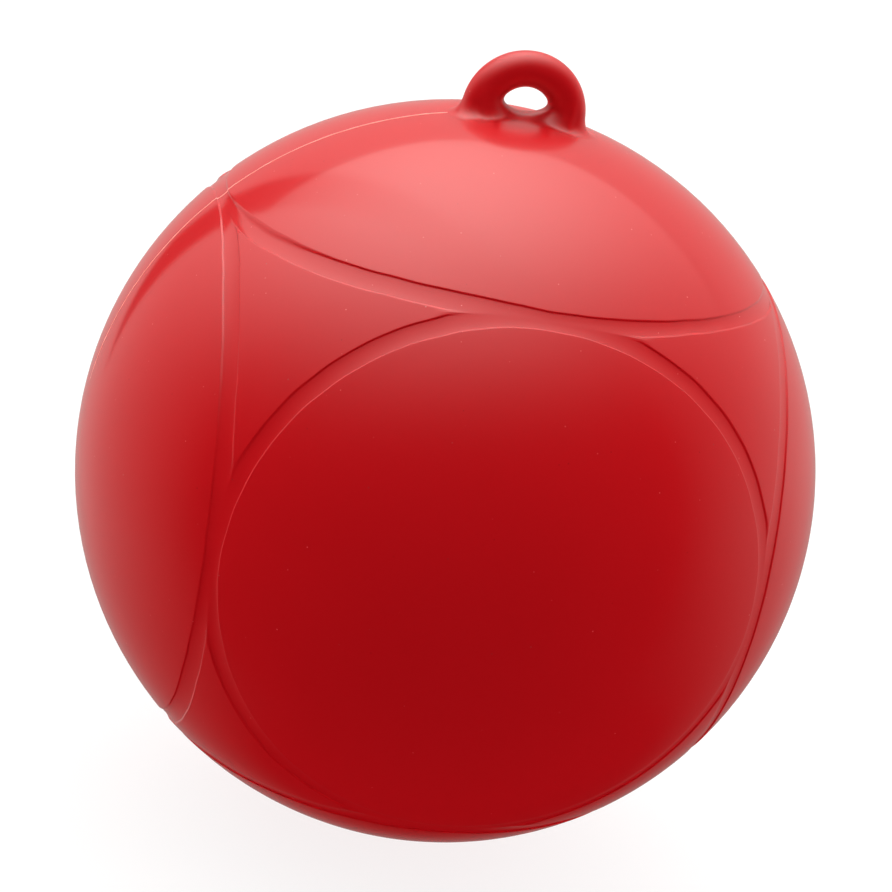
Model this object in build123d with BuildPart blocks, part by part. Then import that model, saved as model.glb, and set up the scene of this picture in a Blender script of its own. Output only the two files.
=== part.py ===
from build123d import *
from math import cos, degrees, radians, sin
import os

os.makedirs("parts", exist_ok=True)

# Ball, in millimetres and degrees: z = 0 is the water level when it floats free
ball_diameter = 228.6
wall_thickness = 3.2
draft = 43.8

# Moulded panels: six round ones with three-pointed ones between them, parted by channels
panel_angle_ends = 45.0
panel_angle_faces = 42.4
panel_angle_sides = 43.8
channel_width = 5.0
channel_depth = 0.6
channel_wall_run = 0.4

# Rope eye: a rounded bar bent into a loop, closed by a web under its hole, on a low saddle
loop_radius = 13.4
bar_width = 10.8
bar_depth = 10.6
bar_flat = 0.6
loop_rise = 1.7
web_height = 1.5
web_bend = 12.0
hole_corner = 2.5
root_depth = 8.0
saddle_diameter = 46.0
saddle_rise = 0.6
leg_fillet = 3.8

# Air valve, at the bottom of the ball: a moulded boss inside the wall holds a rubber plug
boss_diameter = 17.0
boss_height = 8.0
stem_diameter = 8.0
flange_diameter = 13.0
flange_thickness = 1.6
flange_sink = 0.4
bead_diameter = 10.6
bead_height = 2.4
plug_clearance = 0.05
plug_chamfer = 0.4
needle_diameter = 2.1
needle_depth = 7.0
dimple_diameter = 5.0
dimple_depth = 1.4

# Worked out from the sizes above
ball_radius = ball_diameter / 2
cavity_radius = ball_radius - wall_thickness
floor_radius = ball_radius - channel_depth
bond_radius = (floor_radius + cavity_radius) / 2
ball_centre = Vector(0, 0, ball_radius - draft)
channel_angle = degrees(channel_width / ball_radius)
wall_angle = degrees(channel_wall_run / ball_radius)
bond_angle = wall_angle * (ball_radius - bond_radius) / channel_depth
panels = [
    (Vector(0, 0, 1), panel_angle_ends),
    (Vector(0, 0, -1), panel_angle_ends),
    (Vector(0, -1, 0), panel_angle_faces),
    (Vector(0, 1, 0), panel_angle_faces),
    (Vector(-1, 0, 0), panel_angle_sides),
    (Vector(1, 0, 0), panel_angle_sides),
]


def section_plane(direction):
    # A plane through the ball's centre, with its Y axis along the panel's own axis
    across = Vector(direction.Y, direction.Z, direction.X)
    return Plane(ball_centre, x_dir=across, z_dir=across.cross(direction))


def polar(radius, angle):
    # A point at a distance from the ball's centre and an angle from the panel's axis
    return radius * sin(radians(angle)), radius * cos(radians(angle))


# The three-pointed panels: what is left of the outer shell beyond the channels
with BuildPart() as corner_panels:
    with Locations(ball_centre):
        Sphere(ball_radius)
        Sphere(bond_radius, mode=Mode.SUBTRACT)
    for direction, panel_angle in panels:
        rim_angle = panel_angle + channel_angle
        with BuildSketch(section_plane(direction)):
            with BuildLine():
                Polyline(
                    (0, 0),
                    polar(bond_radius, rim_angle - bond_angle),
                    polar(ball_radius, rim_angle),
                    polar(ball_diameter, rim_angle),
                    (0, ball_diameter),
                    close=True,
                )
            make_face()
        revolve(axis=Axis(ball_centre, direction), mode=Mode.SUBTRACT)

# The skin: a hollow ball with its panels raised, and the boss that holds the valve
with BuildPart() as ball_skin:
    with Locations(ball_centre):
        Sphere(floor_radius)
    for direction, panel_angle in panels:
        with BuildSketch(section_plane(direction)):
            with BuildLine():
                Line((0, ball_radius), (0, 0))
                Line((0, 0), polar(bond_radius, panel_angle + bond_angle))
                Line(polar(bond_radius, panel_angle + bond_angle), polar(ball_radius, panel_angle))
                ThreePointArc(
                    polar(ball_radius, panel_angle),
                    polar(ball_radius, panel_angle / 2),
                    (0, ball_radius),
                )
            make_face()
        revolve(axis=Axis(ball_centre, direction))
    add(corner_panels.part)
    with Locations(ball_centre):
        Sphere(cavity_radius, mode=Mode.SUBTRACT)
    boss_foot = -draft + wall_thickness / 2
    boss_top = -draft + wall_thickness + boss_height
    with BuildSketch(Plane.XY.offset(boss_foot)):
        Circle(boss_diameter / 2)
    extrude(amount=boss_top - boss_foot)
    flange_foot = -draft + flange_sink + flange_thickness
    with BuildSketch(Plane.XY.offset(flange_foot)):
        Circle(flange_diameter / 2 + plug_clearance)
    extrude(amount=-wall_thickness, mode=Mode.SUBTRACT)
    with BuildSketch(Plane.XY.offset(flange_foot)):
        Circle(stem_diameter / 2 + plug_clearance)
    extrude(amount=wall_thickness + boss_height, mode=Mode.SUBTRACT)

ball_skin.part.label = "ball_skin"
export_step(ball_skin.part, "parts/ball_skin.step")

# The rope eye, cut to seat on the ball
pole = ball_centre + Vector(0, 0, ball_radius)
loop_centre = pole + Vector(0, 0, loop_rise)
outer_radius = loop_radius + bar_width / 2
hole_radius = loop_radius - bar_width / 2
bar_round = (min(bar_width, bar_depth) - bar_flat) / 2
hole_low = web_height - loop_rise
bend_centre = hole_low + web_bend
hole_side_z = (hole_radius**2 - web_bend**2 + bend_centre**2) / (2 * bend_centre)
hole_side_x = (hole_radius**2 - hole_side_z**2) ** 0.5
seat_drop = ball_radius - (ball_radius**2 - (saddle_diameter / 2) ** 2) ** 0.5
saddle_height = seat_drop + saddle_rise
saddle_radius = ((saddle_diameter / 2) ** 2 + saddle_height**2) / (2 * saddle_height)
with BuildPart() as rope_eye:
    with BuildSketch(Plane(loop_centre, x_dir=(1, 0, 0), z_dir=(0, -1, 0))):
        with BuildLine():
            Polyline(
                (-outer_radius, 0),
                (-outer_radius, -root_depth),
                (outer_radius, -root_depth),
                (outer_radius, 0),
            )
            ThreePointArc((outer_radius, 0), (0, outer_radius), (-outer_radius, 0))
        make_face()
        with BuildSketch(mode=Mode.SUBTRACT) as hole:
            with BuildLine():
                ThreePointArc((hole_side_x, hole_side_z), (0, hole_radius), (-hole_side_x, hole_side_z))
                ThreePointArc((-hole_side_x, hole_side_z), (0, hole_low), (hole_side_x, hole_side_z))
            make_face()
            fillet(hole.vertices(), hole_corner)
    extrude(amount=bar_depth / 2, both=True)
    root_low = loop_centre.Z - root_depth
    rims = rope_eye.faces().filter_by(Axis.Y).edges()
    fillet([rim for rim in rims if rim.center().Z > root_low + bar_flat], bar_round)
    with Locations(pole + Vector(0, 0, saddle_rise - saddle_radius)):
        Sphere(saddle_radius, rotation=(0, 0, 90))
    fillet(rope_eye.edges(Select.NEW), leg_fillet)
    with Locations(ball_centre):
        Sphere(ball_radius, mode=Mode.SUBTRACT)

rope_eye.part.label = "rope_eye"
export_step(rope_eye.part, "parts/rope_eye.step")

# The valve plug: flange outside, stem through the boss and a bead that locks behind it
plug_foot = -draft + flange_sink
flange_top = plug_foot + flange_thickness
bead_foot = boss_top + plug_clearance
with BuildPart() as valve_plug:
    with BuildSketch(Plane.XZ):
        with BuildLine():
            Polyline(
                (0, plug_foot),
                (flange_diameter / 2, plug_foot),
                (flange_diameter / 2, flange_top - plug_clearance),
                (stem_diameter / 2, flange_top - plug_clearance),
                (stem_diameter / 2, bead_foot),
                (bead_diameter / 2, bead_foot),
                (stem_diameter / 2, bead_foot + bead_height),
                (0, bead_foot + bead_height),
                close=True,
            )
        make_face()
    revolve(axis=Axis.Z)
    with BuildSketch(Plane.XZ):
        with BuildLine():
            Polyline(
                (0, plug_foot),
                (dimple_diameter / 2, plug_foot),
                (needle_diameter / 2, plug_foot + dimple_depth),
                (needle_diameter / 2, plug_foot + dimple_depth + needle_depth),
                (0, plug_foot + dimple_depth + needle_depth),
                close=True,
            )
        make_face()
    revolve(axis=Axis.Z, mode=Mode.SUBTRACT)
    flange_edges = valve_plug.edges().filter_by(GeomType.CIRCLE).sort_by(SortBy.RADIUS)[-2:]
    chamfer(flange_edges.sort_by(Axis.Z)[0], plug_chamfer)

valve_plug.part.label = "valve_plug"
export_step(valve_plug.part, "parts/valve_plug.step")
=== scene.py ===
import bpy
import numpy as np
from mathutils import Matrix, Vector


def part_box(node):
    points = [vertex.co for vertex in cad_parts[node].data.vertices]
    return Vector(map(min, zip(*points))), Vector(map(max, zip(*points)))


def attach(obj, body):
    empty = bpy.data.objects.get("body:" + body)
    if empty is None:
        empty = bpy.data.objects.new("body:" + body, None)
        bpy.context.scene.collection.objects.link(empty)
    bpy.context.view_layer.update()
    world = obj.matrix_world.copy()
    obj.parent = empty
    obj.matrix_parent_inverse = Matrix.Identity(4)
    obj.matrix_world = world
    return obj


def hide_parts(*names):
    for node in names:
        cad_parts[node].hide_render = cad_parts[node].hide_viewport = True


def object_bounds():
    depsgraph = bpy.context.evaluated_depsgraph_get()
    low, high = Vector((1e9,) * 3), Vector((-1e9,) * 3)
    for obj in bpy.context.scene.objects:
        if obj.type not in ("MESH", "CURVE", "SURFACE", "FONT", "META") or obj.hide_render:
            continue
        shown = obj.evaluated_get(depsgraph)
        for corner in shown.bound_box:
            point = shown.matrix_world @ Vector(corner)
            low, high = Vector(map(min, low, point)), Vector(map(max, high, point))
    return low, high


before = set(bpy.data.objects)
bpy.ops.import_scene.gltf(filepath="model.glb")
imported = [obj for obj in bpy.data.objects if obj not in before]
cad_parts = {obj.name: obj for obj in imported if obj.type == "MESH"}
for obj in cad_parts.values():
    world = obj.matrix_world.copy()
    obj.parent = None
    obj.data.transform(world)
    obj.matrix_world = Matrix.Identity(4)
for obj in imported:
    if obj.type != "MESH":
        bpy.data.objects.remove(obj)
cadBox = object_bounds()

scene = bpy.context.scene
scene.view_settings.view_transform = "Standard"

# The ball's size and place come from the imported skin, in metres
skinLow, skinHigh = [np.array(corner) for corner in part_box("ball_skin")]
valveLow, valveHigh = [np.array(corner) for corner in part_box("valve_plug")]
ballRadius = (skinHigh[0] - skinLow[0]) / 2
ballCentre = np.array([0.0, 0.0, skinHigh[2] - ballRadius])


def unit(vectors):
    # Vectors divided by their own length
    return vectors / np.linalg.norm(vectors, axis=-1, keepdims=True)


def smooth(value):
    # 0 below 0 and 1 above 1, with an S curve between them: 3v^2 - 2v^3
    value = np.clip(value, 0, 1)
    return value * value * (3 - 2 * value)


def blend(first, second, reach):
    # The smaller of two distances, rounded where they differ by less than the reach
    near = np.clip(reach - np.abs(first - second), 0, None)
    return np.minimum(first, second) - near**2 / (4 * reach)


def gridFaces(index):
    # Quads between neighbours of a grid of vertex numbers, closed round its second direction
    after = np.roll(index, -1, axis=1)
    return np.stack([index[:-1], index[1:], after[1:], after[:-1]], axis=-1).reshape(-1, 4)


def cleanFaces(faces):
    # Drops a quad's repeated corner at a pole, so that it becomes a triangle
    repeated = faces == np.roll(faces, -1, axis=1)
    count = repeated.sum(axis=1)
    triangles = faces[count == 1][~repeated[count == 1]].reshape(-1, 3)
    return faces[count == 0].tolist() + triangles.tolist()


def addPiece(name, points, faces, material, normals=None):
    mesh = bpy.data.meshes.new(name)
    mesh.from_pydata(points.tolist(), [], cleanFaces(faces))
    mesh.validate()
    mesh.shade_smooth()
    if normals is not None:
        mesh.normals_split_custom_set_from_vertices(normals.tolist())
    mesh.materials.append(material)
    piece = bpy.data.objects.new(name, mesh)
    scene.collection.objects.link(piece)
    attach(piece, "root")
    print(name, len(mesh.vertices), "points", len(mesh.polygons), "faces")
    return piece


def weld(points, faces):
    # Points that share a place, to a tenth of a micrometre, become one
    keys = np.round(points * 1e7).astype(np.int64)
    first, inverse = np.unique(keys, axis=0, return_index=True, return_inverse=True)[1:]
    return points[first], inverse.reshape(-1)[faces]


# Materials: moulded vinyl for the ball and eye, black rubber for the valve

vinylLook = {
    "red": (0.45, 0.0045, 0.0075),
    "deepRed": (0.43, 0.004, 0.0065),
    "roughness": (0.09, 0.12),
    "dullRoughness": 0.14,   # added round the eye, where the mould was less polished
    "dullReach": (0.020, 0.031),
    "specular": 1.0,
    "haze": (0.3, 0.4),      # share of the shine that bloom spreads wide, on the ball and by the eye
    "hazeRoughness": (0.36, 0.38),
    "glossScale": 105.8,     # patches of more and less gloss
    "glossRange": (0.3, 0.7),
    "peelScale": 900.0,      # fine skin of the mould, bumps per metre
    "peelDepth": 0.000006,
    "waveScale": 46.0,       # slow unevenness of a soft wall
    "waveDepth": 0.00001,
    "speckScale": 300.0,     # tiny bubbles and dust marks
    "speckSize": 0.08,
    "speckDepth": 0.000018,
    "paleSpeck": (0.85, 0.30, 0.28),
    "paleLots": (0.70, 0.95, 0, 0.45),   # a cell's lot from and to, and the speck's strength there
    "darkSpeck": (0.18, 0.001, 0.002),
    "darkLots": (0.75, 0.95, 0, 0.7),
}
flashLook = {
    "pale": (0.92, 0.38, 0.33),    # painted highlight: a paler colour stands in for the bright line of light along the ridge and for light through its thin vinyl
    "red": (0.70, 0.12, 0.10),
    "roughness": 0.4,
    "patchScale": 220.0,
}
rubberLook = {
    "black": (0.012, 0.012, 0.013),
    "grey": (0.022, 0.022, 0.024),
    "roughness": 0.62,
    "grainScale": 900.0,
    "grainDepth": 0.00002,
}


def newMaterial(name):
    material = bpy.data.materials.new(name)
    material.use_nodes = True
    nodes = material.node_tree.nodes
    shader = nodes["Principled BSDF"]
    place = nodes.new("ShaderNodeTexCoord")
    return material, nodes, material.node_tree.links, shader, place.outputs["Object"]


def noise(nodes, links, place, scale, detail):
    node = nodes.new("ShaderNodeTexNoise")
    node.inputs["Scale"].default_value = scale
    node.inputs["Detail"].default_value = detail
    links.new(place, node.inputs["Vector"])
    return node.outputs["Fac"]


def mapRange(nodes, links, value, low, high, newLow, newHigh):
    node = nodes.new("ShaderNodeMapRange")
    sockets = ("From Min", "From Max", "To Min", "To Max")
    for socket, number in zip(sockets, (low, high, newLow, newHigh)):
        node.inputs[socket].default_value = number
    links.new(value, node.inputs["Value"])
    return node.outputs["Result"]


def mathNode(nodes, links, operation, first, second):
    node = nodes.new("ShaderNodeMath")
    node.operation = operation
    for socket, value in zip(node.inputs, (first, second)):
        if isinstance(value, float):
            socket.default_value = value
        else:
            links.new(value, socket)
    return node.outputs["Value"]


def bump(nodes, links, height, depth, before=None):
    node = nodes.new("ShaderNodeBump")
    node.inputs["Strength"].default_value = 1.0
    node.inputs["Distance"].default_value = depth
    links.new(height, node.inputs["Height"])
    if before:
        links.new(before, node.inputs["Normal"])
    return node.outputs["Normal"]


def mixColour(nodes, links, amount, first, second):
    node = nodes.new("ShaderNodeMix")
    node.data_type = "RGBA"
    node.inputs["A"].default_value = (*first, 1) if isinstance(first, tuple) else (0, 0, 0, 1)
    node.inputs["B"].default_value = (*second, 1)
    if not isinstance(first, tuple):
        links.new(first, node.inputs["A"])
    links.new(amount, node.inputs["Factor"])
    return node.outputs["Result"]


def vinylMaterial(look):
    material, nodes, links, shader, place = newMaterial("redVinyl")
    cloud = noise(nodes, links, place, look["waveScale"], 3)
    colour = mixColour(nodes, links, cloud, look["red"], look["deepRed"])
    # Specks: small rounds at the middle of some cells of a random pattern, pale ones and dark ones
    cells = nodes.new("ShaderNodeTexVoronoi")
    cells.inputs["Scale"].default_value = look["speckScale"]
    links.new(place, cells.inputs["Vector"])
    lots = nodes.new("ShaderNodeSeparateColor")
    links.new(cells.outputs["Color"], lots.inputs["Color"])
    size = look["speckSize"]
    near = mapRange(nodes, links, cells.outputs["Distance"], size, 0.5 * size, 0, 1)
    paleLot = mapRange(nodes, links, lots.outputs["Red"], *look["paleLots"])
    pale = mathNode(nodes, links, "MULTIPLY", near, paleLot)
    darkLot = mapRange(nodes, links, lots.outputs["Green"], *look["darkLots"])
    dark = mathNode(nodes, links, "MULTIPLY", near, darkLot)
    colour = mixColour(nodes, links, pale, colour, look["paleSpeck"])
    colour = mixColour(nodes, links, dark, colour, look["darkSpeck"])
    gloss = noise(nodes, links, place, look["glossScale"], 4)
    gloss = mapRange(nodes, links, gloss, *look["glossRange"], *look["roughness"])
    toEye = nodes.new("ShaderNodeVectorMath")
    toEye.operation = "DISTANCE"
    toEye.inputs[1].default_value = (0, 0, skinHigh[2])
    links.new(place, toEye.inputs[0])
    distance = toEye.outputs["Value"]
    dull = mapRange(nodes, links, distance, *look["dullReach"], look["dullRoughness"], 0)
    share = mapRange(nodes, links, distance, *look["dullReach"], *look["haze"][::-1])
    links.new(mathNode(nodes, links, "ADD", gloss, dull), shader.inputs["Roughness"])
    wave = noise(nodes, links, place, look["waveScale"], 1)
    peel = noise(nodes, links, place, look["peelScale"], 2)
    normal = bump(nodes, links, wave, look["waveDepth"])
    normal = bump(nodes, links, peel, look["peelDepth"], normal)
    normal = bump(nodes, links, pale, look["speckDepth"], normal)
    haze = nodes.new("ShaderNodeBsdfPrincipled")
    spread = mapRange(nodes, links, distance, *look["dullReach"], *look["hazeRoughness"][::-1])
    links.new(spread, haze.inputs["Roughness"])
    for layer in (shader, haze):
        links.new(colour, layer.inputs["Base Color"])
        links.new(normal, layer.inputs["Normal"])
        layer.inputs["Specular IOR Level"].default_value = look["specular"]
    both = nodes.new("ShaderNodeMixShader")
    links.new(share, both.inputs["Fac"])
    links.new(shader.outputs["BSDF"], both.inputs[1])
    links.new(haze.outputs["BSDF"], both.inputs[2])
    links.new(both.outputs["Shader"], nodes["Material Output"].inputs["Surface"])
    return material


def rubberMaterial(look):
    material, nodes, links, shader, place = newMaterial("valveRubber")
    grain = noise(nodes, links, place, look["grainScale"], 3)
    links.new(mixColour(nodes, links, grain, look["black"], look["grey"]), shader.inputs["Base Color"])
    links.new(bump(nodes, links, grain, look["grainDepth"]), shader.inputs["Normal"])
    shader.inputs["Roughness"].default_value = look["roughness"]
    return material


def flashMaterial(look):
    # Painted highlight: cloudy patches of the pale colour light up the ridge, standing in for the line of
    # light along its bead
    material, nodes, links, shader, place = newMaterial("flashHighlightVinyl")
    cloud = noise(nodes, links, place, look["patchScale"], 3)
    links.new(mixColour(nodes, links, cloud, look["pale"], look["red"]), shader.inputs["Base Color"])
    shader.inputs["Roughness"].default_value = look["roughness"]
    return material


redVinyl = vinylMaterial(vinylLook)
flashHighlightVinyl = flashMaterial(flashLook)
valveRubber = rubberMaterial(rubberLook)
print("materials made")

# Ball skin: raised panels and the channels between them

skinShape = {
    "panelAngle": 43.5,       # degrees from a panel's axis to its edge, before the mould's errors
    "channelAngle": 3.05,     # width of a channel, seen from the ball's middle
    "channelDepth": 0.0005,
    "wallRun": 0.0006,        # width of a three-pointed panel's sloping wall
    "wallVaries": 0.7,        # share by which that width comes and goes
    "wallReach": 0.0011,      # how far from an edge the mesh is fine enough for a wall
    "hollowShare": 0.42,      # share of the depth that is a hollow at the wall's foot, and its width
    "hollowRun": 0.0028,
    "tipRound": 0.3,          # rounding of the three-pointed panels' tips, degrees
    "softSpot": (-0.63, -0.34, 0.70),    # where the top panel's edge is worn soft
    "softReach": 0.17,
    "softWidth": 2.2,
    "dentTurn": -106.0,       # where the top panel's edge is drawn in, degrees round its axis
    "dentReach": 20.0,
    "dentDepth": 0.85,
    "narrowTurn": -52.0,      # where the channel round the top panel is narrow
    "narrowReach": 28.0,
    "narrowBy": 1.0,
    "softness": 0.0003,       # how far the soft wall sinks below a true ball, at most
    "calmTop": (12.0, 14.0),  # degrees from the top where the sag starts, and over which it grows
    "calmBottom": (4.0, 10.0),
    "bodyCount": 7,           # slow waves over the ball, and how many turns they make
    "bodyTurns": 2.6,
    "wallTurns": 2.7,         # how much faster the walls' width varies than the sag
    "slimness": 0.00045,      # how far the ball's girth falls short of its height, on the radius
    "wobble": 0.13,           # waviness of the panels' edges, degrees
    "kinks": 0.05,            # small straight-sided bends in the edges, degrees
    "shareMiddle": 0.9,       # how sharply the nearest panel's pull wins, at the ball's sides
    "shareSwing": 0.3,        # and how much more at the front, or less at the back
    "shareTurn": 5.0,
    "pullStart": 6.0,         # degrees from a panel's middle where its pull starts, and over which it grows
    "pullRun": 24.0,
    "pullHold": 0.6,          # degrees past a channel's end where it starts to die away
    "valveGap": 0.0001,
    "valveSink": 0.0021,
    "boreRadius": 0.0038,     # of the hole for the valve's stem, which the stem fills
    "boreSink": 0.0115,
    "lipRun": 0.08,           # degrees over which the sides of recess and bore drop
    "edgeRings": (0.04, 0.1, 0.2, 0.35, 0.6),    # rings of the mesh beside a panel's edge, degrees
    "mouthRings": (-0.12, -0.08, -0.06, -0.04, -0.02, 0.0, 0.06, 0.25),
    "boreRings": (-0.5, -0.08, -0.04, 0.0),
    "ringMargin": 1.0,        # degrees kept free of coarse rings inside an edge
    "coarseRings": (20, 18),  # on a plain panel, and on the valve's
    "wallRings": (12, 10),
    "floorRings": 8,
    "outerRings": 8,
    "ringGap": 0.02,
    "aroundSteps": 240,
    "seed": 4,
}
# Each panel: axis, two directions across it, its own edge angle and how far it leans, in degrees,
# and the width of its sloping wall, in metres
panels = [
    ((0, 0, 1), (1, 0, 0), (0, 1, 0), 45.9, (0.2, 1.2, 0.0), 0.0006),
    ((0, 0, -1), (0, 1, 0), (1, 0, 0), 42.8, (0.9, 0.0, 0.0), 0.0005),
    ((0, -1, 0), (1, 0, 0), (0, 0, 1), 42.8, (0.0, 0.0, -0.3), 0.0005),
    ((0, 1, 0), (0, 0, 1), (1, 0, 0), 42.3, (0.0, 0.0, -1.6), 0.0005),
    ((-1, 0, 0), (0, 0, 1), (0, 1, 0), 44.0, (0.0, -0.1, -2.0), 0.0005),
    ((1, 0, 0), (0, 1, 0), (0, 0, 1), 43.2, (0.0, -0.7, -1.0), 0.0005),
]
panelAxes = np.array([panel[0] for panel in panels], float)
panelU = np.array([panel[1] for panel in panels], float)
panelV = np.array([panel[2] for panel in panels], float)
panelEdges = np.array([panel[3] for panel in panels])
panelLeans = np.radians([panel[4] for panel in panels])
panelWalls = np.array([panel[5] for panel in panels])
channelEnd = skinShape["panelAngle"] + skinShape["channelAngle"]
cornerAngle = np.degrees(np.arctan(np.sqrt(2)))
waveRandom = np.random.default_rng(skinShape["seed"])
edgeCounts = np.array([3, 5, 8, 13])
kinkCounts = np.array([17, 29, 41])
edgePhases = waveRandom.uniform(0, 2 * np.pi, (len(panels), len(edgeCounts)))
kinkPhases = waveRandom.uniform(0, 2 * np.pi, (len(panels), len(kinkCounts)))
bodyWaves = waveRandom.normal(0, skinShape["bodyTurns"], (skinShape["bodyCount"], 3))
bodyPhases = waveRandom.uniform(0, 2 * np.pi, skinShape["bodyCount"])
valveAngle = np.degrees((valveHigh[0] + skinShape["valveGap"]) / ballRadius)
boreAngle = np.degrees(skinShape["boreRadius"] / ballRadius)


def panelAngles(directions):
    # Degrees between directions and the panels' axes: the arc cosine of their dot products
    return np.degrees(np.arccos(np.clip(directions @ panelAxes.T, -1, 1)))


def wall(inside, run):
    # 1 on a panel and 0 in a channel: part of the drop is a step, (way in / its run)^2, so its shoulder
    # is round, and the rest a hollow, 1 - (1 - way in / its run)^2, that flattens into the floor
    wayIn = -np.radians(inside) * ballRadius
    step = np.clip(wayIn / run, 0, 1) ** 2
    hollow = 1 - (1 - np.clip(wayIn / skinShape["hollowRun"], 0, 1)) ** 2
    return 1 - step + skinShape["hollowShare"] * (step - hollow)


def skinRadius(directions):
    # Full radius on panels, less the channel's depth between them, less the valve's recess and the
    # slow sag of a soft wall. How far inside a round panel a point lies is the largest (edge - angle),
    # and inside a three-pointed one the smallest (angle - channel's end), rounded at the tips.
    angles = panelAngles(directions)
    waves = np.cos(directions @ bodyWaves.T + bodyPhases).mean(axis=-1)
    faster = skinShape["wallTurns"] * directions
    varied = np.cos(faster @ bodyWaves[::-1].T + bodyPhases).mean(axis=-1)
    change = 1 + skinShape["wallVaries"] * varied
    toSpot = np.linalg.norm(directions - unit(np.array(skinShape["softSpot"])), axis=-1)
    soft = 1 + skinShape["softWidth"] * np.exp(-(toSpot / skinShape["softReach"]) ** 2)
    nearest, second = np.moveaxis(np.partition(angles, 1, axis=-1)[..., :2], -1, 0) - channelEnd
    pointed = blend(nearest, second, skinShape["tipRound"])
    panel = angles.argmin(axis=-1)
    run = panelWalls[panel] * np.where(panel == 0, soft, 1) * change
    roundRaised = wall(skinShape["panelAngle"] - angles.min(axis=-1), run)
    raised = np.maximum(roundRaised, wall(pointed, skinShape["wallRun"] * change))
    (topStart, topRun), (lowStart, lowRun) = skinShape["calmTop"], skinShape["calmBottom"]
    poles = smooth((angles[..., 0] - topStart) / topRun) * smooth((angles[..., 1] - lowStart) / lowRun)
    sag = skinShape["softness"] * (0.5 + 0.5 * waves) * poles
    sag = sag + skinShape["slimness"] * (1 - directions[..., 2] ** 2)
    lip = skinShape["lipRun"]
    recess = smooth((valveAngle - angles[..., 1]) / lip) * skinShape["valveSink"]
    recess = recess + smooth((boreAngle - angles[..., 1]) / lip) * skinShape["boreSink"]
    return ballRadius - skinShape["channelDepth"] * (1 - raised) - sag - recess


def outOfTrue(directions):
    # Pulls the even pattern to the panels' own edges: each panel turns by its lean and spreads away
    # from its axis by its error times (angle / edge)^2, and the nearest panel counts most. The pull
    # dies away toward a panel's middle and toward the corners where three panels meet.
    angles = panelAngles(directions)
    # Neighbours share their pull more widely at the back, where their errors differ most
    swing = np.tanh(skinShape["shareTurn"] * directions[..., 1:2])
    share = skinShape["shareMiddle"] - skinShape["shareSwing"] * swing
    weights = np.exp(-share * (angles - angles.min(axis=-1, keepdims=True)))
    weights /= weights.sum(axis=-1, keepdims=True)
    moved = directions.copy()
    past = (angles - channelEnd - skinShape["pullHold"]) / (cornerAngle - channelEnd)
    pull = smooth((angles - skinShape["pullStart"]) / skinShape["pullRun"]) * (1 - smooth(past))
    for i in range(len(panels)):
        turn = np.cross(np.cross(panelAxes[i], panelLeans[i]), directions)
        away = directions * np.cos(np.radians(angles[..., i, None])) - panelAxes[i]
        away /= np.maximum(np.sin(np.radians(angles[..., i, None])), 1e-6)
        around = np.arctan2(directions @ panelV[i], directions @ panelU[i])
        wave = np.cos(around[..., None] * edgeCounts + edgePhases[i]) @ (2.0 / (1 + edgeCounts))
        kink = np.arcsin(np.sin(around[..., None] * kinkCounts + kinkPhases[i])).mean(axis=-1)
        error = panelEdges[i] - skinShape["panelAngle"]
        error = error + skinShape["wobble"] * wave + skinShape["kinks"] * kink
        if i == 0:
            turned = (np.degrees(around) - skinShape["dentTurn"]) / skinShape["dentReach"]
            error = error - skinShape["dentDepth"] * np.exp(-(turned**2))
        spread = np.radians(error) * (angles[..., i] / skinShape["panelAngle"]) ** 2
        if i == 0:
            turned = (np.degrees(around) - skinShape["narrowTurn"]) / skinShape["narrowReach"]
            beyond = smooth((angles[..., i] - skinShape["panelAngle"]) / skinShape["channelAngle"])
            spread = spread - np.radians(skinShape["narrowBy"]) * np.exp(-(turned**2)) * beyond
        moved += (weights * pull)[..., i, None] * (turn + away * spread[..., None])
    return unit(moved)


def skinPoints(directions):
    # The ball's middle plus the skin's radius along each direction, moved out of true
    return ballCentre + outOfTrue(directions) * skinRadius(directions)[..., None]


def panelRings(withValve):
    # Angles of the rings round one panel: close together at each edge, and the last on the border
    edge = skinShape["panelAngle"]
    slope = np.degrees(skinShape["wallReach"] / ballRadius)
    margin = skinShape["ringMargin"]
    plainCount, valveCount = skinShape["coarseRings"]
    rings = np.linspace(0, edge - margin, plainCount)
    if withValve:
        mouth = valveAngle + np.array(skinShape["mouthRings"])
        bore = boreAngle + np.array(skinShape["boreRings"])
        rings = np.r_[0, bore, mouth, np.linspace(valveAngle + margin, edge - margin, valveCount)]
    inCount, outCount = skinShape["wallRings"]
    edgeIn = edge - np.array(skinShape["edgeRings"])[::-1]
    wallIn = edge + slope * np.linspace(0, 1, inCount) ** 1.5
    wallOut = channelEnd - slope * np.linspace(1, 0, outCount)
    floor = np.linspace(wallIn[-1], wallOut[0], skinShape["floorRings"])[1:-1]
    edgeOut = channelEnd + np.array(skinShape["edgeRings"])
    return np.r_[rings, edgeIn, wallIn, floor, wallOut, edgeOut]


def skinPatch(number, steps):
    # Directions round one panel on a grid of rings, out to the border it shares with its neighbours,
    # where tan(angle) = 1 / max(|cos|, |sin|) as on a cube's edges
    around = np.arange(steps) * 2 * np.pi / steps
    border = np.degrees(np.arctan(1 / np.maximum(np.abs(np.cos(around)), np.abs(np.sin(around)))))
    rings = panelRings(number == 1)
    outer = np.linspace(0, 1, skinShape["outerRings"])[1:, None]
    rest = rings[-1] + np.maximum(border - rings[-1], 0) * outer
    angle = np.vstack([np.repeat(rings[:, None], steps, axis=1), rest])
    left = (len(angle) - 1 - np.arange(len(angle)))[:, None]
    angle = np.radians(np.minimum(angle, border - skinShape["ringGap"] * left))[..., None]
    across = np.cos(around)[:, None] * panelU[number] + np.sin(around)[:, None] * panelV[number]
    return np.cos(angle) * panelAxes[number] + np.sin(angle) * across


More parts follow.
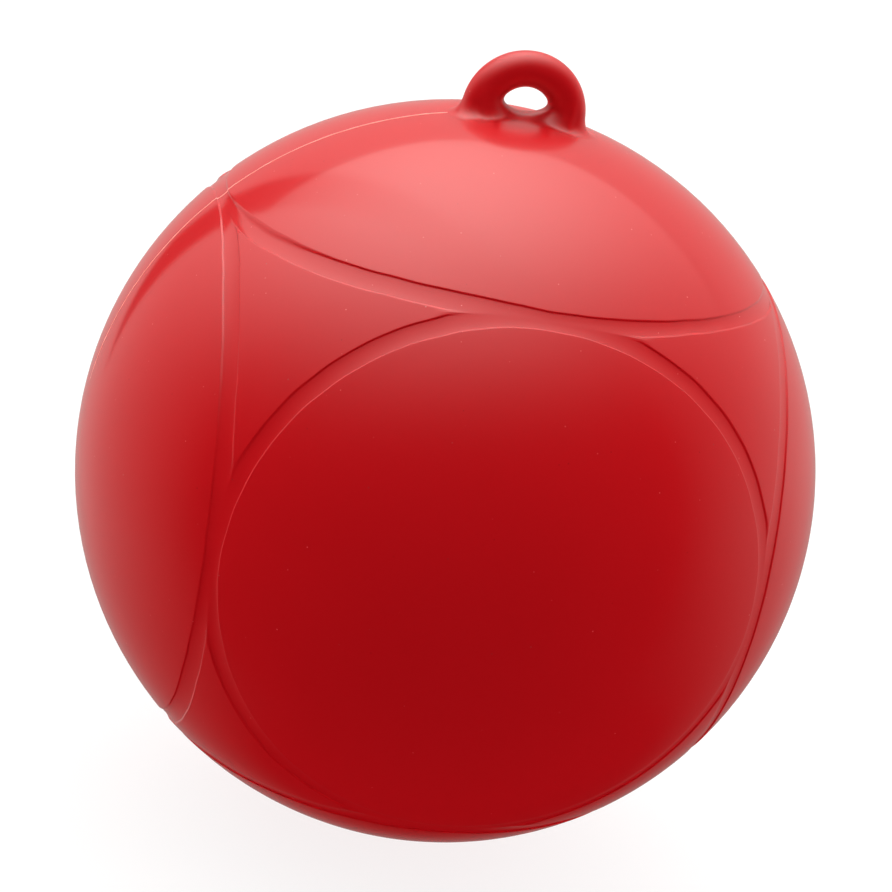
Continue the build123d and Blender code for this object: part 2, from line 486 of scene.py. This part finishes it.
def makeSkin():
    directions, faces, count = [], [], 0
    for number in range(len(panels)):
        patch = skinPatch(number, skinShape["aroundSteps"])
        index = count + np.arange(patch.shape[0] * patch.shape[1]).reshape(patch.shape[:2])
        directions.append(patch.reshape(-1, 3))
        faces.append(gridFaces(index))
        count += index.size
    directions, faces = weld(np.vstack(directions), np.vstack(faces))
    skin = addPiece("ballSkin", skinPoints(unit(directions)), faces, redVinyl)
    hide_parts("ball_skin")


makeSkin()

# Rope eye: a round bar bent over into a loop, its feet and the web between them flowing into the ball

eyeShape = {
    "loopRadius": 0.0134,
    "loopRise": 0.0012,       # loop's middle above the ball
    "barRadius": 0.00533,
    "shift": 0.0007,          # how far the eye stands off the ball's axis
    "webDrop": 0.0038,        # web's centre line below the ball's top, at its lowest
    "webBend": 0.0118,        # radius of the hole's round bottom
    "footBlend": 0.0050,
    "webBlend": 0.0036,
    "webFade": 5.0,           # how fast the web fades inside the legs, and from what share of the loop
    "webFadeFrom": 0.9,
    "archStart": 24.0,        # degrees up the loop where the bar's arc starts
    "footSpread": 1.15,       # the foot's curve: how wide, how high and how near the middle it bends
    "footLift": 0.0004,
    "footInner": 0.3,
    "rimLong": 0.0252,
    "rimWide": 0.0118,
    "rimLift": 0.00003,       # how far the eye's foot stands above the skin, and its rim below
    "rimSink": 0.0001,
    "rootDrop": 0.004,        # how far the closed root reaches under the rim, and its lowest point
    "rootLow": -0.006,
    "settleRounds": 14,
    "settleStep": 0.8,
    "leastSteep": 0.2,
    "outerSteps": 56,
    "innerSteps": 32,
    "archSteps": 40,
    "footSteps": 18,
    "rimSteps": 10,
}
topRadius = float(skinRadius(np.array([[0.0, 0.0, 1.0]]))[0])
ballTop = ballCentre[2] + topRadius


def eyeDistance(points):
    # Distance to the loop, the ball and the web run together; the web's centre line is a parabola and
    # the web fades away inside the legs
    x, y, z = np.moveaxis(points, -1, 0)
    bar = eyeShape["barRadius"]
    loop = np.hypot(np.hypot(x, z - eyeShape["loopRise"]) - eyeShape["loopRadius"], y) - bar
    reach = np.sqrt((x + eyeShape["shift"]) ** 2 + y**2 + (z + topRadius) ** 2)
    slim = skinShape["slimness"] * (1 - ((z + topRadius) / reach) ** 2)
    ball = reach - topRadius + slim - eyeShape["rimLift"]
    bend = eyeShape["webBend"] + bar
    slope = x / bend
    web = np.hypot((z + eyeShape["webDrop"] - x * slope / 2) / np.sqrt(1 + slope**2), y) - bar
    inLeg = np.clip(np.abs(x) - eyeShape["webFadeFrom"] * eyeShape["loopRadius"], 0, None)
    web = web + eyeShape["webFade"] * inLeg**2 / eyeShape["loopRadius"]
    return blend(blend(loop, ball, eyeShape["footBlend"]), web, eyeShape["webBlend"])


def eyeSlope(points):
    # How fast the distance grows along each axis, from small steps either way
    step = 1e-6
    slopes = [
        (eyeDistance(points + side) - eyeDistance(points - side)) / (2 * step)
        for side in step * np.eye(3)]
    return np.stack(slopes, axis=-1)


def settle(points):
    # Moves points along the distance's slope until they lie on the eye's surface
    for _ in range(eyeShape["settleRounds"]):
        slope = eyeSlope(points)
        steep = np.maximum((slope**2).sum(axis=-1, keepdims=True), eyeShape["leastSteep"])
        points = points - eyeShape["settleStep"] * eyeDistance(points)[..., None] * slope / steep
    return points


def legRings():
    # One leg as rings round the bar, from its rim on the ball up to the top of the loop: an ellipse
    # cut off at the loop's middle, a curve up to the bar, then the bar along its arc
    loop, bar = eyeShape["loopRadius"], eyeShape["barRadius"]
    long, wide = eyeShape["rimLong"], eyeShape["rimWide"]
    corner = np.arctan2(wide, -loop)
    outer = np.linspace(-corner, corner, eyeShape["outerSteps"], endpoint=False)
    inner = np.linspace(corner, 2 * np.pi - corner, eyeShape["innerSteps"], endpoint=False)
    turn = np.r_[outer, inner]
    outward, sideways = np.cos(turn), np.sin(turn)
    start = np.radians(eyeShape["archStart"])
    theta = np.linspace(start, np.pi / 2, eyeShape["archSteps"])[:, None]
    reach = loop + bar * outward
    arch = np.stack([
        reach * np.cos(theta),
        np.broadcast_to(bar * sideways, (len(theta), len(turn))),
        eyeShape["loopRise"] + reach * np.sin(theta)], axis=-1)
    a = (outward / long) ** 2 + (sideways / wide) ** 2
    b = loop * outward / long**2
    reachOut = (-b + np.sqrt(b * b - a * ((loop / long) ** 2 - 1))) / a
    limit = np.where(np.arange(len(turn)) < len(outer), reachOut, -loop / np.minimum(outward, -1e-6))
    rim = np.stack([loop + limit * outward, limit * sideways, 0 * turn], axis=-1)
    rim[:, 2] = np.sqrt(topRadius**2 - rim[:, 0] ** 2 - rim[:, 1] ** 2) - topRadius
    first = arch[0]
    spread = bar * eyeShape["footSpread"]
    foot = np.stack([loop + spread * outward, spread * sideways, 0 * turn + eyeShape["footLift"]], axis=-1)
    foot[:, 0] = np.maximum(foot[:, 0], eyeShape["footInner"] * loop)
    t = np.linspace(0, 1, eyeShape["footSteps"] + eyeShape["rimSteps"])[:, None, None]
    curve = (1 - t) ** 2 * first + 2 * t * (1 - t) * foot + t**2 * rim
    rows = np.vstack([curve[::-1][:-1], arch])
    rows[rows[..., 0] < 1e-9, 0] = 0.0
    rows[-1, :, 0] = 0.0
    return rows


def makeEye():
    # Both legs settle onto the blended surface; then each rim sinks a little and closes under the skin
    mirror = np.array([-1, 1, 1])
    legs = legRings()
    legs = np.vstack([legs, legs[::-1][1:] * mirror])
    middle = legs[..., 0] == 0
    legs = settle(legs)
    legs[middle, 0] = 0.0
    outerCount = eyeShape["outerSteps"]
    sink = eyeShape["rimSink"] * smooth(np.linspace(1, 0, eyeShape["rimSteps"]))[:, None]
    legs[:eyeShape["rimSteps"], :outerCount, 2] -= sink
    legs[-eyeShape["rimSteps"]:, :outerCount, 2] -= sink[::-1]
    below = np.array([0, 0, eyeShape["rootDrop"]])
    lowest = np.array([eyeShape["loopRadius"], 0, eyeShape["rootLow"]])
    heart = np.broadcast_to(lowest, legs[:1].shape)
    whole = np.vstack([heart, legs[:1] - below, legs, legs[-1:] - below, heart * mirror])
    index = np.arange(whole.shape[0] * whole.shape[1]).reshape(whole.shape[:2])
    faces = gridFaces(index).reshape(whole.shape[0] - 1, whole.shape[1], 4)
    keep = np.ones(faces.shape[:2], bool)
    keep[1, outerCount:] = False
    keep[-2, outerCount:] = False
    points, faces = weld(whole.reshape(-1, 3), faces[keep])
    place = np.array([eyeShape["shift"], 0, ballTop])
    eye = addPiece("ropeEye", points + place, faces[:, ::-1], redVinyl, unit(eyeSlope(points)))
    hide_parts("rope_eye")


makeEye()

# Valve plug: a turned rubber plug with a dimple that leads a needle into its hole

plugShape = {
    "stemRadius": 0.004,
    "flangeHeight": 0.00155,
    "rimRound": 0.0004,
    "dimpleRadius": 0.0025,
    "dimpleDepth": 0.0014,
    "needleRadius": 0.00105,
    "needleDepth": 0.007,
    "grooveRadii": (0.0042, 0.0043, 0.0045, 0.0046),    # a fine ring round the dimple
    "grooveDepth": 0.00012,
    "rimSteps": 6,
    "dimpleSteps": 8,
    "steps": 72,
}


def makePlug():
    # A profile of radius and height turned about the ball's axis
    low, high, wide = valveLow[2], valveHigh[2], valveHigh[0]
    corner = np.linspace(0, np.pi / 2, plugShape["rimSteps"])
    rimR = wide - plugShape["rimRound"] * (1 - np.sin(corner))
    rimZ = low + plugShape["rimRound"] * (1 - np.cos(corner))
    dimple = np.linspace(0, 1, plugShape["dimpleSteps"])
    needle, stem = plugShape["needleRadius"], plugShape["stemRadius"]
    dimpleR = needle + (plugShape["dimpleRadius"] - needle) * dimple
    dimpleZ = low + plugShape["dimpleDepth"] * (1 - smooth(dimple))
    deep = low + plugShape["dimpleDepth"] + plugShape["needleDepth"]
    shoulder = low + plugShape["flangeHeight"]
    groove = low + plugShape["grooveDepth"]
    radius = np.r_[0, needle, dimpleR, plugShape["grooveRadii"], rimR, wide, stem, stem, 0]
    height = np.r_[deep, deep, dimpleZ, low, groove, groove, low, rimZ, shoulder, shoulder, high, high]
    around = np.arange(plugShape["steps"]) * 2 * np.pi / plugShape["steps"]
    points = np.stack([
        radius[:, None] * np.cos(around), radius[:, None] * np.sin(around),
        np.repeat(height[:, None], len(around), axis=1)], axis=-1)
    index = np.arange(points.shape[0] * points.shape[1]).reshape(points.shape[:2])
    points, faces = weld(points.reshape(-1, 3), gridFaces(index)[:, ::-1])
    plug = addPiece("valvePlug", points, faces, valveRubber)
    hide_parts("valve_plug")


makePlug()

# Parting line: the thin ridge left where the mould's halves met, in the plane of the loop, trimmed away
# except on the upper left

ridgeShape = {
    "width": 0.0007,
    "height": 0.0002,
    "sink": 0.00003,
    "root": 0.0004,           # how deep the ridge is rooted in the skin
    "lastAngle": 88.0,        # degrees down from the top where it ends
    "fadeAngle": 14.0,        # over which it sinks into the skin before its end
    "firstShare": 0.8,        # where it starts, as a share of the eye's length
    "waveCounts": (12, 28, 45, 74),
    "waveShare": 0.25,        # share of the height that comes and goes
    "drift": 0.00012,         # how far it strays sideways, and how often
    "driftCount": 11,
    "acrossSteps": 7,
    "searchRounds": 8,
    "steps": 1600,
    "seed": 12,
}


def evenDirections(directions):
    # Finds the place in the even pattern that the mould's errors move to each direction
    even = directions.copy()
    for _ in range(ridgeShape["searchRounds"]):
        even = unit(even + directions - outOfTrue(even))
    return even


def makeRidge():
    # A closed bar along a path: across its top, height * (1 - u^2) less a little sink at its edges
    first = np.arcsin(ridgeShape["firstShare"] * eyeShape["rimLong"] / topRadius)
    last, fade = np.radians([ridgeShape["lastAngle"], ridgeShape["fadeAngle"]])
    angle = np.linspace(last, first, ridgeShape["steps"])
    out = np.stack([-np.sin(angle), 0 * angle, np.cos(angle)], axis=-1)
    path = skinPoints(evenDirections(out))
    random = np.random.default_rng(ridgeShape["seed"])
    counts, share = np.array(ridgeShape["waveCounts"]), ridgeShape["waveShare"]
    phases = random.uniform(0, 2 * np.pi, len(counts))
    lively = 1 - share + share * np.cos(angle[:, None] * counts + phases).mean(axis=1)
    drift = ridgeShape["drift"] * np.sin(angle * ridgeShape["driftCount"] + phases[0])
    across = np.r_[np.linspace(-1, 1, ridgeShape["acrossSteps"]), 0]
    top = np.r_[1 - across[:-1] ** 2, 0]
    under = np.r_[np.zeros(ridgeShape["acrossSteps"]), 1]
    side = (across * ridgeShape["width"] / 2)[None] + drift[:, None]
    sunk = ridgeShape["height"] * (1 - smooth((last - angle) / fade))
    rise = ridgeShape["height"] * lively[:, None] * top - ridgeShape["sink"]
    rise = rise - ridgeShape["root"] * under - sunk[:, None]
    bar = path[:, None] + side[..., None] * np.array([0, 1, 0]) + rise[..., None] * out[:, None]
    ends = np.repeat(bar[[0, -1]].mean(axis=1, keepdims=True), bar.shape[1], axis=1)
    bar = np.concatenate([ends[:1], bar, ends[1:]])
    index = np.arange(bar.shape[0] * bar.shape[1]).reshape(bar.shape[:2])
    points, faces = weld(bar.reshape(-1, 3), gridFaces(index))
    ridge = addPiece("partingLine", points, faces, flashHighlightVinyl)


makeRidge()

# Camera, as the photograph was taken: distances in ball radii from the ball's middle

cameraView = {
    "place": (-1.6011, -6.6469, 2.5988),
    "forward": (0.21805, 0.91221, -0.34688),
    "up": (-0.12143, 0.37803, 0.91780),
    "focalPixels": 2698.0,
    "imagePixels": 892,
    "sensorWidth": 36.0,
    "clipStart": 0.01,
}


def makeCamera():
    data = bpy.data.cameras.new("photoCamera")
    camera = bpy.data.objects.new("photoCamera", data)
    scene.collection.objects.link(camera)
    back = -unit(np.array(cameraView["forward"]))
    right = unit(np.cross(np.array(cameraView["up"]), back))
    matrix = np.eye(4)
    matrix[:3, 0], matrix[:3, 1], matrix[:3, 2] = right, np.cross(back, right), back
    matrix[:3, 3] = ballCentre + ballRadius * np.array(cameraView["place"])
    camera.matrix_world = Matrix(matrix.tolist())
    data.sensor_width = cameraView["sensorWidth"]
    data.lens = data.sensor_width * cameraView["focalPixels"] / cameraView["imagePixels"]
    data.clip_start = cameraView["clipStart"]
    scene.camera = camera


makeCamera()

# Studio: a wide soft light overhead and behind, pale surroundings at the back and sides, a pale floor

studio = {
    "lightLean": 18.0,        # degrees that the soft light's middle leans from straight up
    "lightTurn": -30.0,       # and which way: from straight back toward the right
    "lightFocus": 3.45,
    "lightLevel": 2.31,
    "edgeTurn": 12.0,
    "edgeSlope": 1.17,        # the soft light's straight back edge, as distance over height
    "edgeBlur": 0.02,
    "behindEdge": 0.16,
    "gapTurn": 30.6,          # a dark gap between the lit side and the back wall, left of straight back
    "gapTilt": 0.21,
    "gapWide": 0.21,
    "gapTaper": 0.9,          # how fast the gap narrows below the horizon
    "gapLevel": 0.0,
    "gapBlur": 0.04,
    "rimLevel": 0.53,
    "rimStart": -0.25,
    "rimFull": 0.72,
    "lowTilt": 0.25,          # the rim dies away low down, sooner on the right
    "lowRange": (-0.85, -0.3),
    "tint": (1.0, 0.99, 0.94),
    "skyFill": 0.67,
    "floorFill": 0.81,
    "backFill": 1.45,
    "floorSize": 6.0,
    "floorPaint": (0.8, 0.8, 0.8, 1),
    "floorWhite": 0.85,       # share of the floor's look that is plain white to the camera
}


def makeFill(name, lean):
    # Even light from half the sky that gives the red its body without a shine of its own
    data = bpy.data.lights.new(name, "SUN")
    data.angle = np.pi
    data.energy = studio[name] * np.pi
    data.cycles.use_multiple_importance_sampling = False
    lamp = bpy.data.objects.new(name, data)
    lamp.rotation_euler = (-np.radians(lean), 0, -np.radians(studio["edgeTurn"]))
    lamp.visible_glossy = False
    scene.collection.objects.link(lamp)


def makeFloor():
    half, level = studio["floorSize"], float(cadBox[0][2])
    mesh = bpy.data.meshes.new("floor")
    corners = [(-half, -half, level), (half, -half, level), (half, half, level), (-half, half, level)]
    mesh.from_pydata(corners, [], [(0, 1, 2, 3)])
    floor = bpy.data.objects.new("floor", mesh)
    scene.collection.objects.link(floor)
    material = bpy.data.materials.new("paleFloor")
    material.use_nodes = True
    nodes, links = material.node_tree.nodes, material.node_tree.links
    nodes.clear()
    output = nodes.new("ShaderNodeOutputMaterial")
    paint = nodes.new("ShaderNodeBsdfDiffuse")
    paint.inputs["Color"].default_value = studio["floorPaint"]
    white = nodes.new("ShaderNodeEmission")
    rays = nodes.new("ShaderNodeLightPath")
    share = nodes.new("ShaderNodeMath")
    share.operation = "MULTIPLY"
    share.inputs[1].default_value = studio["floorWhite"]
    links.new(rays.outputs["Is Camera Ray"], share.inputs[0])
    both = nodes.new("ShaderNodeMixShader")
    links.new(share.outputs["Value"], both.inputs["Fac"])
    links.new(paint.outputs["BSDF"], both.inputs[1])
    links.new(white.outputs["Emission"], both.inputs[2])
    links.new(both.outputs["Shader"], output.inputs["Surface"])
    mesh.materials.append(material)
    # The floor adds nothing to the ball's shine or colour, and the fill from below passes through it
    floor.visible_glossy = False
    floor.visible_diffuse = False
    floor.visible_shadow = False


def makeWorld():
    # Level = light * max(0, d . t)^focus for a direction d and the soft light's middle t, cut to a share
    # of itself behind the straight edge, plus a pale rim that grows from the front to the back and is
    # dark in the gap; the camera itself sees plain white
    world = bpy.data.worlds.new("studioWorld")
    world.use_nodes = True
    scene.world = world
    nodes, links = world.node_tree.nodes, world.node_tree.links
    background = nodes["Background"]
    place = nodes.new("ShaderNodeTexCoord").outputs["Generated"]
    keys = ("lightLean", "lightTurn", "edgeTurn", "gapTurn")
    lean, turn, edge, gap = [np.radians(studio[key]) for key in keys]
    away = np.array([np.sin(edge), np.cos(edge), 0.0])
    across = np.array([np.cos(edge), -np.sin(edge), 0.0])
    toLight = np.array([np.sin(turn) * np.sin(lean), np.cos(turn) * np.sin(lean), np.cos(lean)])
    fromGap = np.array([np.cos(gap), np.sin(gap), studio["gapTilt"]])

    def math(operation, first, second):
        return mathNode(nodes, links, operation, first, second)

    def along(vector):
        node = nodes.new("ShaderNodeVectorMath")
        node.operation = "DOT_PRODUCT"
        node.inputs[1].default_value = vector
        links.new(place, node.inputs[0])
        return node.outputs["Value"]

    glow = math("POWER", math("MAXIMUM", along(toLight), 0.0), studio["lightFocus"])
    past = along(away - np.array([0, 0, studio["edgeSlope"]]))
    side = along(fromGap)
    behind = math("MINIMUM", past, side)
    blur = studio["edgeBlur"]
    cut = mapRange(nodes, links, behind, -blur, blur, 1.0, studio["behindEdge"])
    light = math("MULTIPLY", math("MULTIPLY", glow, cut), studio["lightLevel"])
    rim = mapRange(
        nodes, links, along(away), studio["rimStart"], studio["rimFull"], 0.0, studio["rimLevel"])
    upright = np.array([0, 0, 1.0])
    tilted = along(upright - studio["lowTilt"] * across)
    above = mapRange(nodes, links, tilted, *studio["lowRange"], 0.0, 1.0)
    enter = mapRange(nodes, links, side, -blur, blur, 1.0, studio["gapLevel"])
    low = math("MULTIPLY", math("MINIMUM", along(upright), 0.0), studio["gapTaper"])
    gapEnd = studio["gapWide"]
    leave = mapRange(
        nodes, links, math("SUBTRACT", side, low), gapEnd - studio["gapBlur"], gapEnd, 0.0, 1.0)
    rim = math("MULTIPLY", math("MULTIPLY", rim, above), math("MAXIMUM", enter, leave))
    level = math("ADD", light, rim)
    rays = nodes.new("ShaderNodeLightPath")
    shown = nodes.new("ShaderNodeMix")
    shown.inputs["B"].default_value = 1.0
    links.new(rays.outputs["Is Camera Ray"], shown.inputs["Factor"])
    links.new(level, shown.inputs["A"])
    links.new(shown.outputs["Result"], background.inputs["Strength"])
    colour = mixColour(nodes, links, rays.outputs["Is Camera Ray"], studio["tint"], (1.0, 1.0, 1.0))
    links.new(colour, background.inputs["Color"])


makeFill("skyFill", 0)
makeFill("floorFill", 180)
makeFill("backFill", 90)
makeFloor()
makeWorld()
print("studio made")
